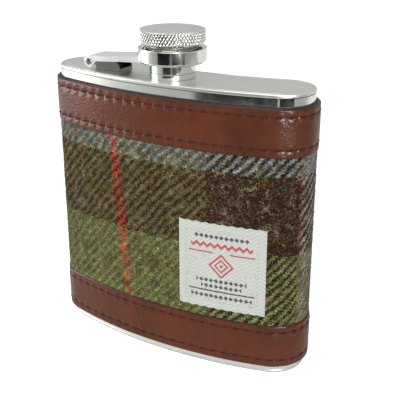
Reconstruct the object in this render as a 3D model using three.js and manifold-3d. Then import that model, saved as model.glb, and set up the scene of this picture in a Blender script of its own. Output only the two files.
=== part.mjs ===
// A 6 oz hip flask: a kidney-section stainless vessel in a cloth and leather wrap, with a screw cap
// held captive in the collar of a hinged arm.
// Millimetres, +Z up. The origin is on the table, under the middle of the flask's box; the bulging
// face looks along -Y and the hinge of the arm is towards -X.
import * as THREE from "three";
import { mergeVertices } from "three/addons/utils/BufferGeometryUtils.js";
import Module from "manifold-3d";

const wasm = await Module();
wasm.setup();

// ---- Driving dimensions -------------------------------------------------------------------------

// Vessel
const bodyWidth = 93; // across the steel
const bodyThickness = 22; // through the steel, square to its curve
const bendRadius = 136; // of the curve that runs midway between front and back
const bodyHeight = 94; // from the table to the top plate's face
const wallGauge = 0.6;
const plateGauge = 1.2; // height of the top and base plates
const plateEdge = 0.4; // rounding of the plates' rims

// Clearances
const seatGap = 0.05; // between pieces that are welded, pressed or laid on each other
const turnGap = 0.08; // radial, between the hinge pin and its holes
const sideGap = 0.15; // between the arm's cheeks and the bracket's ears
const liftGap = 0.1; // between the flange and the lip with the cap all the way up
const swingGap = 0.5; // between the neck's thread and the cap's, so that the arm can be swung
const lipGap = 1; // between the knob's waist and the collar's lip
const overrun = 1; // how far a cutting shape runs past what it cuts

// Neck
const boreRadius = 4.5;
const neckRadius = 5.5; // of the tube, at the root of its thread
const threadDepth = 0.45;
const threadPitch = 1.5;
const crestShare = 0.3; // radius of a thread's round crest, over the pitch
const neckStand = 6.6; // the mouth's height over the top plate
const mouthEdge = 0.3;
const shoulderHeight = 1.7;
const spigotStep = 1; // how far the spigot stands out from the neck
const spigotDepth = 2;

// Cap
const socketThread = 0.4; // how far the inner thread stands in
const socketTurns = 1; // of the inner thread
const socketWall = 0.5;
const socketCrown = 0.6;
const gasketHeight = 1.2;
const knobRadius = 10.5;
const knobGap = 1.15; // from the collar's rim to the knurl
const knurlHeight = 4.5;
const knurlDepth = 0.35;
const knurlCount = 60; // diamonds round the knob
const knobTaper = 1.0; // how far the knurl's foot is drawn in
const knobEdge = 0.12;
const waistWall = 1; // of the knob's waist, round the socket
const flangeHeight = 0.8;
const capLift = 2; // how far the cap climbs in the collar as it is unscrewed

// Arm and hinge
const collarBase = 4.8; // over the top plate
const collarWall = 0.9;
const collarFloor = 0.8;
const collarEdge = 0.8; // bevel round the collar's foot
const rimWidth = 0.5; // flat top of the collar
const lipReach = 0.6; // how far the collar's rolled lip reaches in over the flange
const lipSlope = 0.5; // height of the lip's sloping face
const lipGauge = 0.4;
const skirtGap = 0.25; // between the socket and the collar's floor
const pinRadius = 0.7;
const pinFromNeck = 30;
const pinHeight = 2.35; // over the top plate
const pinHeadRadius = 1.1;
const pinHeadHeight = 0.3;
const strapWidth = 9;
const strapGauge = 0.5;
const strapTilt = 4.6; // degrees that the strap climbs from the hinge to the collar
const noseRadius = 1.9; // of the strap's eyes, about the pin
const webEnd = 130; // degrees round the eye, from the collar's side, where the strap's top stops
const cheekDepth = 1.8;
const bracketGauge = 0.7;
const eyeRadius = 1.25; // of the bracket's ears, about the pin
const footStart = 2.4; // from the pin to the foot's near end
const bracketLength = 11.6; // from the pin to the foot's far end
const earHeight = 3.4; // of the bracket's ears over the top plate

// Wrap, built up outwards from the steel
const wrapBase = 3; // from the table to the lower band
const wrapDrop = 4; // from the top plate's face to the upper band
const bandHeight = 15.2;
const backingGauge = 0.35;
const backingRise = 0.3; // how far the backing shows over the upper band
const tweedGauge = 0.6;
const leatherGauge = 1.0;
const tuck = 3.2; // how far the cloth runs in under each band
const bandEdge = 0.15;
const seamGap = 0.5; // where the wrap's ends meet, behind
const stitchInset = 2.6; // from a band's edge to its row of stitches
const stitchGroove = 0.6;
const stitchDepth = 0.2;
const threadGap = 0.06;

// Label
const labelWidth = 29.4;
const labelHeight = 29.8;
const labelGauge = 0.3;
const labelInset = 0.2; // from where the cloth's right end starts to round
const labelGap = 3.5; // from the lower band to the label

// Fineness
const bendSteps = 16;
const endSteps = 12;
const roundSteps = 40;
const threadSteps = 20; // in a turn
const threadSides = 6; // round the thread's crest
const rodSides = 20; // of the pin and its holes
const eyeSteps = 16; // round the strap's eyes
const earSteps = 12; // round the bracket's ears
const cornerSteps = 6; // of the ears' far corners
const hollowSteps = 4; // in each round of the strap's hollow
const labelSteps = 8; // across the label
const weldReach = 1e-4; // corners closer than this are one

// ---- Materials ----------------------------------------------------------------------------------

function finish(color, roughness, metalness) {
  return new THREE.MeshStandardMaterial({ color, roughness, metalness });
}

const polishedSteel = finish(0xd0d2cf, 0.12, 1);
const brushedSteel = finish(0xc4c6c2, 0.32, 1);
const leather = finish(0x6b3322, 0.42, 0);
const tweed = finish(0x5a5a35, 0.95, 0);
const thread = finish(0x3b1712, 0.7, 0);
const backing = finish(0x1c1b1a, 0.9, 0);
const labelCloth = finish(0xdfe1da, 0.85, 0);
const silicone = finish(0xe8e8e4, 0.6, 0);

// ---- Shapes -------------------------------------------------------------------------------------

const lean = Math.asin((bodyWidth - bodyThickness) / 2 / bendRadius); // half of the bend's angle
const bendCentre = (bendRadius * (1 + Math.cos(lean))) / 2; // puts the outline's box astride y = 0
const neckY = bendCentre - bendRadius; // middle of the plate, at x = 0
const FRONT = -Math.PI / 2;
const BACK = Math.PI / 2;

// A round of the bend's own curve, at this distance outside the steel's middle curve.
function bend(distance, from, to) {
  const radius = bendRadius + distance;
  return new THREE.EllipseCurve(0, bendCentre, radius, radius, FRONT + from, FRONT + to, to < from);
}

// The kidney outline as points, this far outside the steel.
function kidney(offset) {
  const half = bodyThickness / 2 + offset;
  const endX = bendRadius * Math.sin(lean);
  const endY = bendCentre - bendRadius * Math.cos(lean);
  const rightEnd = new THREE.EllipseCurve(endX, endY, half, half, FRONT + lean, BACK + lean);
  const leftEnd = new THREE.EllipseCurve(-endX, endY, half, half, BACK - lean, BACK - lean + Math.PI);
  return [
    ...bend(half, -lean, lean).getPoints(bendSteps).slice(0, -1),
    ...rightEnd.getPoints(endSteps).slice(0, -1),
    ...bend(-half, lean, -lean).getPoints(bendSteps).slice(0, -1),
    ...leftEnd.getPoints(endSteps).slice(0, -1),
  ];
}

// A flat outline raised from one height to another, its rims rounded by edge.
function prism(points, holes, low, high, edge = 0, edgeSteps = 2) {
  const shape = new THREE.Shape(points);
  shape.holes = holes.map((hole) => new THREE.Path(hole));
  const geometry = new THREE.ExtrudeGeometry(shape, {
    depth: high - low - 2 * edge,
    bevelEnabled: edge > 0,
    bevelThickness: edge,
    bevelSize: edge,
    bevelOffset: -edge,
    bevelSegments: edgeSteps,
  });
  return geometry.translate(0, 0, low + edge);
}

// A wall that follows the kidney outline between two distances outside the steel.
function sleeve(inner, outer, low, high, edge) {
  return prism(kidney(outer), [kidney(inner)], low, high, edge, 1);
}

function circle(radius, x = 0, y = 0) {
  return new THREE.EllipseCurve(x, y, radius, radius, 0, 2 * Math.PI).getPoints(roundSteps).slice(0, -1);
}

// A closed [radius, height] profile turned about Z.
function turned(profile, steps = roundSteps) {
  const points = [...profile, profile[0]].map(([radius, height]) => new THREE.Vector2(radius, height));
  return new THREE.LatheGeometry(points, steps).rotateX(Math.PI / 2);
}

// A rod along Y between two places, centred on x and z.
function crossRod(radius, x, z, yFrom, yTo) {
  const rod = new THREE.CylinderGeometry(radius, radius, yTo - yFrom, rodSides);
  return rod.translate(x, (yFrom + yTo) / 2, z);
}

// An outline in X and Z raised along Y.
function sidePlate(points, yFrom, yTo) {
  const depth = yTo - yFrom;
  const plate = new THREE.ExtrudeGeometry(new THREE.Shape(points), { depth, bevelEnabled: false });
  return plate.rotateX(Math.PI / 2).translate(0, yTo, 0);
}

function box(xFrom, xTo, yFrom, yTo, zFrom, zTo) {
  const block = new THREE.BoxGeometry(xTo - xFrom, yTo - yFrom, zTo - zFrom);
  return block.translate((xFrom + xTo) / 2, (yFrom + yTo) / 2, (zFrom + zTo) / 2);
}

class Helix extends THREE.Curve {
  constructor(radius, low, turns, runOut) {
    super();
    Object.assign(this, { radius, low, turns, runOut });
  }
  getPoint(t) {
    const angle = 2 * Math.PI * this.turns * t;
    const fromEnd = Math.min(t, 1 - t) * this.turns * 4; // in quarter turns
    const radius = this.radius - this.runOut * (1 - Math.min(1, fromEnd));
    const height = this.low + threadPitch * this.turns * t;
    return new THREE.Vector3(radius * Math.cos(angle), radius * Math.sin(angle), height);
  }
}

// A round-crested thread: a rod wound on a helix, which sinks by runOut over its first and last
// quarter turn.
function threadRidge(radius, rod, low, turns, runOut) {
  const round = new THREE.EllipseCurve(0, 0, rod, rod, 0, 2 * Math.PI);
  const section = new THREE.Shape(round.getPoints(threadSides).slice(0, -1));
  const extrudePath = new Helix(radius, low, turns, runOut);
  const steps = Math.round(turns * threadSteps);
  return new THREE.ExtrudeGeometry(section, { steps, extrudePath, bevelEnabled: false });
}

// ---- Solids -------------------------------------------------------------------------------------

function solid(geometry) {
  const bare = geometry.index ? geometry.toNonIndexed() : geometry.clone();
  bare.deleteAttribute("normal");
  bare.deleteAttribute("uv");
  const merged = mergeVertices(bare, weldReach);
  const vertProperties = merged.attributes.position.array;
  const triVerts = new Uint32Array(merged.index.array);
  return new wasm.Manifold(new wasm.Mesh({ numProp: 3, vertProperties, triVerts }));
}

const joined = (...shapes) => shapes.map(solid).reduce((whole, piece) => whole.add(piece));
const without = (whole, ...cutters) => cutters.map(solid).reduce((rest, cut) => rest.subtract(cut), whole);

function meshOf(name, whole, material) {
  const { vertProperties, triVerts } = whole.getMesh();
  const geometry = new THREE.BufferGeometry();
  geometry.setAttribute("position", new THREE.BufferAttribute(new Float32Array(vertProperties), 3));
  geometry.setIndex(new THREE.BufferAttribute(new Uint32Array(triVerts), 1));
  geometry.computeVertexNormals();
  const mesh = new THREE.Mesh(geometry, material);
  mesh.name = name;
  return mesh;
}

// ---- Vessel -------------------------------------------------------------------------------------

function bodyWall() {
  const low = plateGauge + seatGap;
  const high = bodyHeight - plateGauge - seatGap;
  return meshOf("body_wall", solid(sleeve(-wallGauge, 0, low, high)), polishedSteel);
}

function topPlate() {
  const hole = circle(spigotRadius + seatGap, 0, neckY);
  const low = bodyHeight - plateGauge;
  const plate = prism(kidney(0), [], low, bodyHeight, plateEdge);
  const cutter = prism(hole, [], low - overrun, bodyHeight + overrun);
  return meshOf("top_plate", without(solid(plate), cutter), brushedSteel);
}

function basePlate() {
  return meshOf("base_plate", solid(prism(kidney(0), [], 0, plateGauge, plateEdge)), brushedSteel);
}

const socketBore = neckRadius + threadDepth + swingGap + socketThread; // at the root of its thread
const socketRadius = socketBore + socketWall;
const shoulderRadius = socketRadius + seatGap;
const spigotRadius = neckRadius + spigotStep;

// Heights from here on are over the top plate, in groups that stand on it.
const threadCrest = threadPitch * crestShare;
const threadTurns = capLift / threadPitch; // the threads part when the cap is all the way up
const threadTop = neckStand - mouthEdge - threadCrest;
const threadFoot = threadTop - capLift;

function neck() {
  const tube = turned([
    [boreRadius, -spigotDepth],
    [spigotRadius, -spigotDepth],
    [spigotRadius, seatGap],
    [shoulderRadius, seatGap],
    [shoulderRadius, shoulderHeight],
    [neckRadius, shoulderHeight],
    [neckRadius, neckStand - mouthEdge],
    [neckRadius - mouthEdge, neckStand],
    [boreRadius, neckStand],
  ]);
  const middle = neckRadius + threadDepth - threadCrest;
  const ridge = threadRidge(middle, threadCrest, threadFoot, threadTurns, threadDepth);
  const bore = turned(plug(boreRadius, -spigotDepth - overrun, neckStand + overrun));
  return meshOf("neck", without(joined(tube, ridge), bore), polishedSteel);
}

// The profile of a plain round plug.
const plug = (radius, low, high) => [
  [0, low],
  [radius, low],
  [radius, high],
  [0, high],
];

// ---- Cap ----------------------------------------------------------------------------------------

const socketFoot = shoulderHeight + 2 * seatGap;
const gasketFoot = neckStand + seatGap;
const socketCeiling = gasketFoot + gasketHeight + seatGap;
const socketTop = socketCeiling + socketCrown;
const flangeFoot = collarBase + collarFloor + seatGap;
const waistRadius = socketRadius + seatGap + waistWall;
const wellRadius = waistRadius + lipGap + lipReach;
const collarRadius = wellRadius + collarWall;
const flangeRadius = wellRadius - sideGap;
const lipFoot = flangeFoot + flangeHeight + capLift + liftGap;
const collarTop = lipFoot + lipGauge + lipSlope;
const knobTop = collarTop + knobGap + knurlHeight;

function capKnob() {
  const drumFoot = knobTop - knurlHeight;
  const rim = knobRadius - 2 * knurlDepth;
  const core = turned([
    [0, flangeFoot],
    [flangeRadius, flangeFoot],
    [flangeRadius, flangeFoot + flangeHeight],
    [waistRadius, flangeFoot + flangeHeight],
    [waistRadius, drumFoot - knobTaper],
    [rim - knobTaper, drumFoot],
    [rim, knobTop - knobEdge],
    [rim - knobEdge, knobTop],
    [0, knobTop],
  ]);
  const recess = turned(plug(socketRadius + seatGap, flangeFoot - overrun, socketTop + seatGap));
  return meshOf("cap_knob", without(joined(core, knurledDrum(drumFoot)), recess), brushedSteel);
}

// A drum whose side rises and falls in diamonds: every other point of its grid is drawn in, and so are
// its two ends.
function knurledDrum(foot) {
  const rows = Math.round((knurlHeight * knurlCount) / (Math.PI * knobRadius));
  const height = knurlHeight - knobEdge;
  const around = 2 * knurlCount;
  const drum = new THREE.CylinderGeometry(knobRadius, knobRadius, height, around, rows).toNonIndexed();
  const points = drum.attributes.position;
  for (let i = 0; i < points.count; i++) {
    const radius = Math.hypot(points.getX(i), points.getZ(i));
    const column = Math.round((Math.atan2(points.getX(i), points.getZ(i)) / (2 * Math.PI)) * around);
    const row = Math.round((points.getY(i) / height + 0.5) * rows);
    const valley = (row + column) % 2 === 0 ? knurlDepth : 0;
    const drawnIn = row === 0 ? knobTaper : row === rows ? knurlDepth / 2 : valley;
    const share = 1 - drawnIn / Math.max(radius, drawnIn, knurlDepth);
    points.setXYZ(i, points.getX(i) * share, points.getY(i), points.getZ(i) * share);
  }
  return drum.rotateX(Math.PI / 2).translate(0, 0, foot + height / 2);
}

function capSocket() {
  const shell = turned([
    [socketBore, socketFoot],
    [socketRadius, socketFoot],
    [socketRadius, socketTop],
    [0, socketTop],
    [0, socketCeiling],
    [socketBore, socketCeiling],
  ]);
  const middle = socketBore - socketThread + threadCrest;
  const ridge = threadRidge(middle, threadCrest, threadFoot + threadPitch / 2, socketTurns, 0);
  return meshOf("cap_socket", joined(shell, ridge), polishedSteel);
}

function capGasket() {
  const radius = socketBore - seatGap;
  return meshOf("cap_gasket", solid(turned(plug(radius, gasketFoot, gasketFoot + gasketHeight))), silicone);
}

// ---- Captive arm and hinge ----------------------------------------------------------------------

const pinX = -pinFromNeck;
const tilt = THREE.MathUtils.degToRad(strapTilt);
const strapTop = (x) => pinHeight + noseRadius / Math.cos(tilt) + (x - pinX) * Math.tan(tilt);
const aboutPin = (radius, from, to) => new THREE.EllipseCurve(pinX, pinHeight, radius, radius, from, to);

function armCollar() {
  const hole = socketRadius + skirtGap;
  const collar = turned([
    [hole, collarBase],
    [collarRadius - collarEdge, collarBase],
    [collarRadius, collarBase + collarEdge],
    [collarRadius, collarTop],
    [collarRadius - rimWidth, collarTop],
    [wellRadius - lipReach, collarTop - lipSlope],
    [wellRadius - lipReach, lipFoot],
    [wellRadius, lipFoot],
    [wellRadius, collarBase + collarFloor],
    [hole, collarBase + collarFloor],
  ]);
  return meshOf("arm_collar", solid(collar), polishedSteel);
}

// A channel that is open downwards: a top, and two cheeks that end in round eyes about the pin.
function armStrap() {
  const side = strapWidth / 2;
  const at = (x, drop) => new THREE.Vector2(x, strapTop(x) - drop);
  const cheek = [
    ...aboutPin(noseRadius, Math.PI / 2 + tilt, Math.PI * 1.75).getPoints(eyeSteps),
    at(pinX + footStart, cheekDepth),
    at(0, cheekDepth),
    at(0, 0),
  ];
  const topStops = THREE.MathUtils.degToRad(webEnd);
  const hollow = [
    ...aboutPin(noseRadius - strapGauge, Math.PI / 2 + tilt, topStops).getPoints(hollowSteps),
    ...aboutPin(2 * noseRadius, topStops, Math.PI * 1.5).getPoints(hollowSteps),
    at(0, 3 * noseRadius + cheekDepth),
    at(0, strapGauge),
  ];
  const inside = side - strapGauge;
  const pinHole = crossRod(pinRadius + turnGap, pinX, pinHeight, -side - overrun, side + overrun);
  const collarSeat = turned(plug(collarRadius + seatGap, 0, knobTop));
  const bar = solid(sidePlate(cheek, -side, side));
  const channel = without(bar, sidePlate(hollow, -inside, inside), pinHole, collarSeat);
  return meshOf("arm_strap", channel, polishedSteel);
}

// Two ears that stand inside the strap's cheeks, joined by a foot on the plate.
function hingeBracket() {
  const outer = strapWidth / 2 - strapGauge - sideGap;
  const inner = outer - bracketGauge;
  const footTop = seatGap + bracketGauge;
  const round = earHeight - footTop;
  const end = pinX + bracketLength;
  const ear = [
    ...aboutPin(eyeRadius, Math.PI / 2, Math.PI * 1.75).getPoints(earSteps),
    new THREE.Vector2(pinX + footStart, pinHeight - eyeRadius * Math.SQRT1_2),
    new THREE.Vector2(pinX + footStart, seatGap),
    new THREE.Vector2(end, seatGap),
    ...new THREE.EllipseCurve(end - round, footTop, round, round, 0, Math.PI / 2).getPoints(cornerSteps),
  ];
  const bracket = joined(
    sidePlate(ear, -outer, -inner),
    sidePlate(ear, inner, outer),
    box(pinX + footStart, end, -inner - seatGap, inner + seatGap, seatGap, footTop),
  );
  const pinHole = crossRod(pinRadius + turnGap, pinX, pinHeight, -outer - overrun, outer + overrun);
  return meshOf("hinge_bracket", without(bracket, pinHole), polishedSteel);
}

function hingePin() {
  const reach = strapWidth / 2 + seatGap;
  const end = reach + pinHeadHeight;
  const pin = joined(
    crossRod(pinRadius, pinX, pinHeight, -end, end),
    crossRod(pinHeadRadius, pinX, pinHeight, -end, -reach),
    crossRod(pinHeadRadius, pinX, pinHeight, reach, end),
  );
  return meshOf("hinge_pin", pin, brushedSteel);
}

// ---- Wrap ---------------------------------------------------------------------------------------

const wrapTop = bodyHeight - wrapDrop;
const backingFace = seatGap + backingGauge;
const tweedBack = backingFace + seatGap;
const tweedFace = tweedBack + tweedGauge;
const leatherFace = tweedBack + leatherGauge;
const lowerBandTop = wrapBase + bandHeight;
const upperBandFoot = wrapTop - bandHeight;
const seam = () => box(-seamGap / 2, seamGap / 2, 0, bodyWidth, -overrun, bodyHeight);

function wrapBacking() {
  const layer = solid(sleeve(seatGap, backingFace, wrapBase, wrapTop + backingRise));
  return meshOf("wrap_backing", without(layer, seam()), backing);
}

function tweedPanel() {
  const low = lowerBandTop - tuck;
  const high = upperBandFoot + tuck;
  return meshOf("tweed_panel", without(solid(sleeve(tweedBack, tweedFace, low, high)), seam()), tweed);
}

// A leather band, grooved for its two rows of stitches, and thinned where it laps over the cloth.
function leatherBand(name, low, high, lapSpan) {
  const band = solid(sleeve(tweedBack, leatherFace, low, high, bandEdge));
  const lapCut = sleeve(tweedBack - seatGap, tweedFace + seatGap, ...lapSpan);
  const grooves = stitchRows(low, high).map((row) =>
    sleeve(leatherFace - stitchDepth, leatherFace + overrun, row - stitchGroove / 2, row + stitchGroove / 2),
  );
  return meshOf(name, without(band, lapCut, ...grooves, seam()), leather);
}

const stitchRows = (low, high) => [low + stitchInset, high - stitchInset];

// A row of stitches as one thread, lying in its groove.
function stitchRow(name, height) {
  const half = stitchGroove / 2 - threadGap;
  const inner = leatherFace - stitchDepth + threadGap;
  const row = sleeve(inner, leatherFace + threadGap, height - half, height + half);
  return meshOf(name, without(solid(row), seam()), thread);
}

function frontLabel() {
  const back = bodyThickness / 2 + tweedFace + seatGap;
  const front = back + labelGauge;
  const radius = bendRadius + back;
  const to = lean - labelInset / radius;
  const from = to - labelWidth / radius;
  const outline = [
    ...bend(front, from, to).getPoints(labelSteps),
    ...bend(back, to, from).getPoints(labelSteps),
  ];
  const foot = lowerBandTop + labelGap;
  return meshOf("front_label", solid(prism(outline, [], foot, foot + labelHeight)), labelCloth);
}

// ---- Assembly -----------------------------------------------------------------------------------

const flask = new THREE.Group();
flask.add(bodyWall(), topPlate(), basePlate());

const wrap = new THREE.Group();
wrap.add(wrapBacking(), tweedPanel());
const lap = tuck + seatGap;
const upperLap = [upperBandFoot - overrun, upperBandFoot + lap];
const lowerLap = [lowerBandTop - lap, lowerBandTop + overrun];
wrap.add(leatherBand("leather_band_upper", upperBandFoot, wrapTop, upperLap));
wrap.add(leatherBand("leather_band_lower", wrapBase, lowerBandTop, lowerLap));
stitchRows(upperBandFoot, wrapTop).forEach((row, i) => wrap.add(stitchRow(`upper_stitches_${i + 1}`, row)));
stitchRows(wrapBase, lowerBandTop).forEach((row, i) => wrap.add(stitchRow(`lower_stitches_${i + 1}`, row)));
wrap.add(frontLabel());
flask.add(wrap);

const mouth = new THREE.Group(); // everything that stands on the top plate, about the neck's axis
mouth.position.set(0, neckY, bodyHeight);
mouth.add(neck(), hingeBracket(), hingePin());

const arm = new THREE.Group();
arm.add(armStrap(), armCollar());

const cap = new THREE.Group();
cap.add(capKnob(), capSocket(), capGasket());
arm.add(cap);
mouth.add(arm);
flask.add(mouth);

export default flask;
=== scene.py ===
import math
import random

import bmesh
import bpy
from bpy.props import FloatProperty, FloatVectorProperty, IntProperty, PointerProperty
from mathutils import Matrix, Vector, noise


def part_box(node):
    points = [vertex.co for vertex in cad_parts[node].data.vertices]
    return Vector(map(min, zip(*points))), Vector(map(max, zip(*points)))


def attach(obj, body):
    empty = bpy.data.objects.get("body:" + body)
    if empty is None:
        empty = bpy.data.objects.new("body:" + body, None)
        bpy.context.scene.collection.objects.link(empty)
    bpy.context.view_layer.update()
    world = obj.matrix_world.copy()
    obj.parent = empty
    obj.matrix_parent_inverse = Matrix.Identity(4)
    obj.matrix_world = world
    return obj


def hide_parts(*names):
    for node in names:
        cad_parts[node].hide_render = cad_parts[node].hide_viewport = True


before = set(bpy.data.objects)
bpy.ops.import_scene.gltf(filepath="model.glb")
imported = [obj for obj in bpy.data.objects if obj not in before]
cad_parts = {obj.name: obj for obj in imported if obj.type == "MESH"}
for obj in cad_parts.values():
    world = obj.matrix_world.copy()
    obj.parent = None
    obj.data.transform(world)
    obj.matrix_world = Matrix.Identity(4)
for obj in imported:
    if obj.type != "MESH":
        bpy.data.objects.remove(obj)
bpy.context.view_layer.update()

bl_info = {
    "name": "Tweed and leather hip flask",
    "version": (1, 0, 0),
    "blender": (4, 5, 0),
    "location": "View3D > Sidebar > Flask",
    "description": "Makes a wrapped steel hip flask with a captive screw cap, piece by piece",
    "category": "Object",
}

MM = 0.001

# ---- Sizes that come from the frame ----

WALL_LOW, WALL_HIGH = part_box("body_wall")
PLATE_LOW, PLATE_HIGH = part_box("top_plate")
BASE_LOW, BASE_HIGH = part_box("base_plate")
NECK_LOW, NECK_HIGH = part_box("neck")
COLLAR_LOW, COLLAR_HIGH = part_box("arm_collar")
KNOB_LOW, KNOB_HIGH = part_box("cap_knob")
SOCKET_LOW, SOCKET_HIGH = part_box("cap_socket")
GASKET_LOW, GASKET_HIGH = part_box("cap_gasket")
BACKING_LOW, BACKING_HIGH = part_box("wrap_backing")
TWEED_LOW, TWEED_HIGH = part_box("tweed_panel")
LABEL_LOW, LABEL_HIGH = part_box("front_label")
BANDS = {name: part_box(name) for name in ("leather_band_lower", "leather_band_upper")}
STITCH_ROWS = {
    name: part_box(name)
    for name in ("lower_stitches_1", "lower_stitches_2", "upper_stitches_1", "upper_stitches_2")
}

NECK_Y = (NECK_LOW.y + NECK_HIGH.y) / 2
SAG = -2 * NECK_Y  # how far the bend's ends stand behind its middle
HALF = (WALL_HIGH.y - WALL_LOW.y - SAG) / 2  # half the vessel's thickness
END_X = (WALL_HIGH.x - WALL_LOW.x) / 2 - HALF  # centre of the right rounded end
BEND = (END_X**2 + SAG**2) / (2 * SAG)  # radius of the curve midway between front and back
LEAN = math.asin(END_X / BEND)
CENTRE_Y = NECK_Y + BEND
END_Y = CENTRE_Y - BEND * math.cos(LEAN)

# How far outside the steel the back and the face of each layer lie
BACKING_OUT = (0.05 * MM, 0.40 * MM)
TWEED_OUT = (0.45 * MM, 1.05 * MM)
LEATHER_OUT = (0.45 * MM, 1.45 * MM)
LABEL_OUT = (1.10 * MM, 1.40 * MM)
LABEL_WIDTH = 29.4 * MM
LABEL_INSET = 0.2 * MM  # from where the cloth's right end starts to round
LAP = 3.25 * MM  # how far the cloth runs in under a band
WRAP_AT = TWEED_OUT[1]  # lengths round the wrap are measured along the face of the cloth
SEAM = 0.5 * MM
HALF_GIRTH = 2 * LEAN * BEND + math.pi * (HALF + WRAP_AT)
REACH = HALF_GIRTH - SEAM / 2  # from the front's middle to either end of the wrap

WALL_GAUGE = 0.6 * MM
FIT = 0.05  # millimetres between pieces that are pressed together
BORE, TUBE, SPIGOT, SHOULDER = 4.5, 5.5, 6.5, 7.4  # radii of the neck, in millimetres
SHOULDER_HEIGHT, MOUTH_EDGE = 1.7, 0.3
THREAD_PITCH, THREAD_CREST = 1.5, 0.45

BEND_STEPS = 64
END_STEPS = 40
TURN_STEPS = 96
ROD_STEPS = 48
WINDING_STEPS = 56
SAME = 0.002 * MM  # corners closer than this are one

# Degrees: broad faces keep their own shading where an edge turns by more
FLAT = 18
TURNED = 8
SOFT = 180


def around(along, out, height):
    """Where a point of the flat wrap goes: along it from the front middle, and out from the steel."""
    side, length = (1 if along >= 0 else -1), abs(along)
    front, end = LEAN * (BEND + HALF + WRAP_AT), math.pi * (HALF + WRAP_AT)
    if front < length <= front + end:
        angle, radius = LEAN + (length - front) / (HALF + WRAP_AT), HALF + out
        x, y = END_X + radius * math.sin(angle), END_Y - radius * math.cos(angle)
        return Vector((side * x, y, height))
    if length <= front:
        angle, radius = length / (BEND + HALF + WRAP_AT), BEND + HALF + out
    else:
        angle, radius = LEAN - (length - front - end) / (BEND - HALF - WRAP_AT), BEND - HALF - out
    return Vector((side * radius * math.sin(angle), CENTRE_Y - radius * math.cos(angle), height))


def label_span():
    """Where the label starts and ends along the wrap."""
    right = LEAN * (BEND + HALF + WRAP_AT) - LABEL_INSET
    return right - LABEL_WIDTH * (BEND + HALF + WRAP_AT) / (BEND + HALF + LABEL_OUT[0]), right


def bell(distance, width):
    """1 at no distance, falling away smoothly to 0."""
    return math.exp(-((distance / width) ** 2))


def sway(s, z, seed, scale):
    """Slow random unevenness over the flat wrap, from -1 to 1."""
    return noise.noise(Vector((s, z, seed)) * scale)


# ---- What a user would change ----


def colour(name, description, *shade):
    return FloatVectorProperty(
        name=name, description=description, default=shade, min=0, max=1, size=3, subtype="COLOR"
    )


def length(name, description, millimetres):
    size = millimetres * MM
    return FloatProperty(name=name, description=description, default=size, unit="LENGTH", precision=5)


def power(name, description, watts):
    return FloatProperty(name=name, description=description, default=watts, min=0, unit="POWER")


def angle(name, description, degrees):
    turn = math.radians(degrees)
    return FloatProperty(name=name, description=description, default=turn, subtype="ANGLE")


class FlaskSizes(bpy.types.PropertyGroup):
    yarn: length("Yarn", "Width of one yarn of the tweed", 0.83)
    rib: length("Rib", "Height of the twill's ribs", 0.16)
    stitch_pitch: length("Stitch pitch", "From one stitch to the next", 3.95)
    stitch_length: length("Stitch length", "Length of one stitch", 2.7)
    stitch_width: length("Stitch width", "Thickness of the sewing thread", 0.62)
    pucker: length("Pucker", "How far the leather is drawn in at a needle hole", 0.3)
    plate_rim: length("Plate rim", "Rounding of the end plates", 0.4)
    bead: length("Bead", "From the plate's edge to the line inside its rim", 1.0)
    edge: length("Edge", "Rounding of turned and folded steel", 0.14)
    knurl_depth: length("Knurl depth", "Depth of the knurl's grooves", 0.42)
    knurl_count: IntProperty(name="Knurl count", description="Diamonds round the knob", default=60, min=12)
    fibres: IntProperty(name="Fibres", description="Loose fibres on the cloth", default=14000, min=1)


class FlaskColours(bpy.types.PropertyGroup):
    steel: colour("Steel", "Polished stainless steel", 0.83, 0.835, 0.785)
    # Painted highlight: a brightened copy of the steel for the arm, so that it looks as though it catches
    # more light
    pale: colour("Highlight-painted steel", "Steel of the arm, brightened as a painted highlight", 0.97, 0.97, 0.96)
    # Painted shade: a darkened copy of the steel for the hinge and the knob's waist, which lie in shade
    shade_painted_steel: colour("Shade-painted steel", "Steel of the hinge and the knob's waist, darkened as painted shade", 0.20, 0.205, 0.18)
    satin: colour("Satin steel", "Brushed stainless steel", 0.63, 0.665, 0.62)
    leather: colour("Leather", "Leather where light falls on it", 0.108, 0.0245, 0.0085)
    # Painted shade: a darker copy of the leather for its creases
    leather_shaded: colour("Dark leather", "Leather in its creases", 0.064, 0.0145, 0.0048)
    # The edge paint's colour, also used as painted shade in the needle holes
    leather_edge_and_hole_shade: colour("Leather edge", "Painted edge of the leather, and the painted shade in its needle holes", 0.018, 0.011, 0.009)
    thread: colour("Thread", "Sewing thread of the bands", 0.072, 0.0125, 0.0075)
    green: colour("Green yarn", "Moss green yarn", 0.168, 0.226, 0.072)
    olive: colour("Olive yarn", "Olive-tan yarn", 0.116, 0.102, 0.032)
    brown: colour("Brown yarn", "Dark brown yarn", 0.024, 0.0062, 0.0030)
    blue: colour("Blue yarn", "Pale blue-grey yarn", 0.215, 0.27, 0.275)
    lilac: colour("Lilac yarn", "Lilac-grey yarn", 0.33, 0.27, 0.24)
    red: colour("Red yarn", "Orange-red yarn of the overcheck", 0.50, 0.036, 0.007)
    orange: colour("Orange yarn", "Orange yarn of the thin line", 0.22, 0.065, 0.014)
    label: colour("Label", "Ground of the woven label", 0.58, 0.60, 0.55)
    label_red: colour("Label red", "Red yarn of the label", 0.50, 0.022, 0.045)
    label_black: colour("Label black", "Black yarn of the label", 0.022, 0.026, 0.03)
    backing: colour("Backing", "Coated backing of the wrap", 0.014, 0.013, 0.012)
    silicone: colour("Silicone", "Washer in the cap", 0.74, 0.74, 0.71)


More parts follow.
